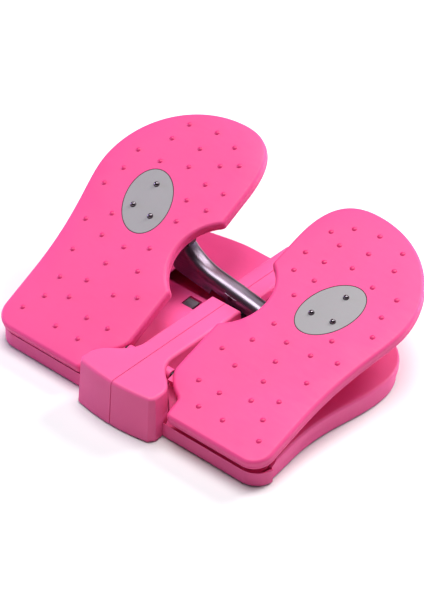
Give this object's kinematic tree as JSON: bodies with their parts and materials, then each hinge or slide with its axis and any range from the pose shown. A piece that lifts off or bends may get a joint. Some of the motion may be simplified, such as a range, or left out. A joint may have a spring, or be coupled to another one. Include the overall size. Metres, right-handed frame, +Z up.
{
  "type": "stepper",
  "caption": "Compact twin-pedal mini stepper: two studded pedals hinged at the front rise and fall in turn, linked by a steel rocker behind a central spine.",
  "frame": {"origin": "centre of the middle rubber foot on the floor, below the line where the two pedal tops meet", "axes": "+X to the user's right across both pedals, +Y to the rear where the pedals lift, +Z up"},
  "size_m": [0.388, 0.3305, 0.1586],
  "materials": {
    "pedal_plastic": "satin moulded",
    "base_plastic": "satin moulded",
    "cover_plastic": "satin moulded",
    "disc_plastic": "fine grain",
    "gasket_rubber": "matt",
    "magnet_chrome": "polished",
    "rocker_steel": "polished",
    "frame_paint": "satin",
    "bar_steel": "plain",
    "axle_steel": "ground",
    "screw_steel": "zinc plated",
    "bush_brass": "plain",
    "glide_nylon": "smooth",
    "foot_rubber": "matt"
  },
  "bodies": {
    "base": {"base_pan": "base_plastic", "deck_left": "base_plastic", "deck_right": "base_plastic", "hub_cover_left": "cover_plastic", "hub_cover_right": "cover_plastic", "tail_cover_left": "cover_plastic", "tail_cover_right": "cover_plastic", "cover_screws": "screw_steel", "frame_tube": "frame_paint", "cross_bar_left": "bar_steel", "cross_bar_right": "bar_steel", "axle_bracket": "frame_paint", "pedal_axle": "axle_steel", "axle_collars": "axle_steel", "rocker_bracket": "frame_paint", "rocker_bush": "bush_brass", "rubber_feet": "foot_rubber", "deck_screws_left": "screw_steel", "deck_screws_right": "screw_steel"},
    "pedal_left": {"pedal_top_left": "pedal_plastic", "pedal_tray_left": "pedal_plastic", "pedal_disc_left": "disc_plastic", "pedal_disc_gasket_left": "gasket_rubber", "pedal_magnets_left": "magnet_chrome", "pedal_hinge_sleeve_left": "bush_brass", "pedal_wear_strip_left": "glide_nylon", "pedal_screws_left": "screw_steel"},
    "pedal_right": {"pedal_top_right": "pedal_plastic", "pedal_tray_right": "pedal_plastic", "pedal_disc_right": "disc_plastic", "pedal_disc_gasket_right": "gasket_rubber", "pedal_magnets_right": "magnet_chrome", "pedal_hinge_sleeve_right": "bush_brass", "pedal_wear_strip_right": "glide_nylon", "pedal_screws_right": "screw_steel"},
    "rocker": {"rocker_arm": "rocker_steel", "rocker_pad_left": "glide_nylon", "rocker_pad_right": "glide_nylon", "rocker_pin": "axle_steel"}
  },
  "joints": [
    {"name": "pedal_left_tilt", "type": "hinge", "parent": "base", "child": "pedal_left", "pos_m": [0, 0.00244, 0.04191], "axis": [1, 0, 0], "range_deg": [-11.55, 1.9]},
    {"name": "pedal_right_tilt", "type": "hinge", "parent": "base", "child": "pedal_right", "pos_m": [0, 0.00244, 0.04191], "axis": [1, 0, 0], "range_deg": [-1.95, 11.6]},
    {"name": "rocker_tilt", "type": "hinge", "parent": "base", "child": "rocker", "pos_m": [0, 0.142, 0.043], "axis": [0, 1, 0], "range_deg": [-24, 4.1]}
  ],
  "couplings": [
    {"joint": "pedal_right_tilt", "follows": "pedal_left_tilt", "ratio": -1},
    {"joint": "rocker_tilt", "follows": "pedal_left_tilt", "ratio": 2.064}
  ]
}
